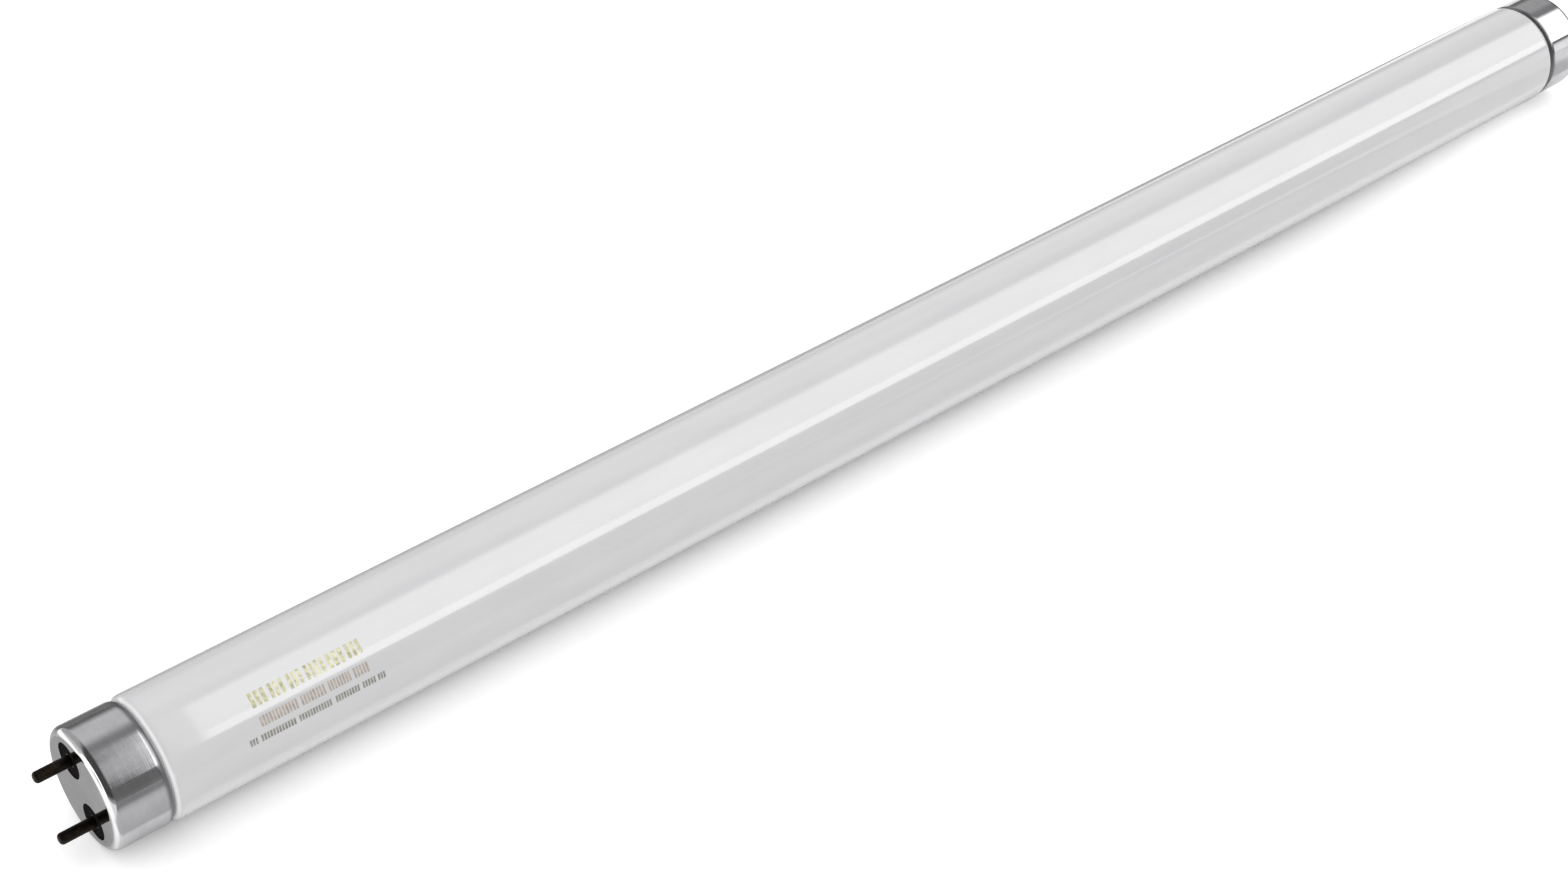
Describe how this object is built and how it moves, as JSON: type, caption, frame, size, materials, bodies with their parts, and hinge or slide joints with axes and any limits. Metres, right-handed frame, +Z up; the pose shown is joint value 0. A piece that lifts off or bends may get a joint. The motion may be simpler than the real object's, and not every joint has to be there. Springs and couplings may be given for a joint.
{
  "type": "fluorescent tube",
  "caption": "Straight double-capped fluorescent lamp: opal white glass tube with a rounded shoulder at each end, satin aluminium caps and round contact pins in black bosses.",
  "frame": {"origin": "centre of the lamp, on the axis of the glass tube, halfway between the two cap faces", "axes": "+X along the lamp towards the end away from the picture's near end, +Z up as the lamp lies on a surface, +Y to the far side. The lowest point lies 13 mm below the origin"},
  "size_m": [0.4516, 0.026, 0.026],
  "materials": {
    "opal_glass": "gloss, coated white inside",
    "cap_aluminium": "satin",
    "black_phenolic": "satin",
    "basing_cement": "matt",
    "pin_brass": "dark tarnished",
    "lead_wire": "nickel plated"
  },
  "bodies": {
    "root": {"glass_tube": "opal_glass", "cap_shell_left": "cap_aluminium", "cap_shell_right": "cap_aluminium", "insulator_left": "black_phenolic", "insulator_right": "black_phenolic", "cement_ring_left": "basing_cement", "cement_ring_right": "basing_cement", "contact_pin_left_upper": "pin_brass", "contact_pin_left_lower": "pin_brass", "contact_pin_right_upper": "pin_brass", "contact_pin_right_lower": "pin_brass", "lead_wire_left_upper": "lead_wire", "lead_wire_left_lower": "lead_wire", "lead_wire_right_upper": "lead_wire", "lead_wire_right_lower": "lead_wire"}
  },
  "joints": []
}
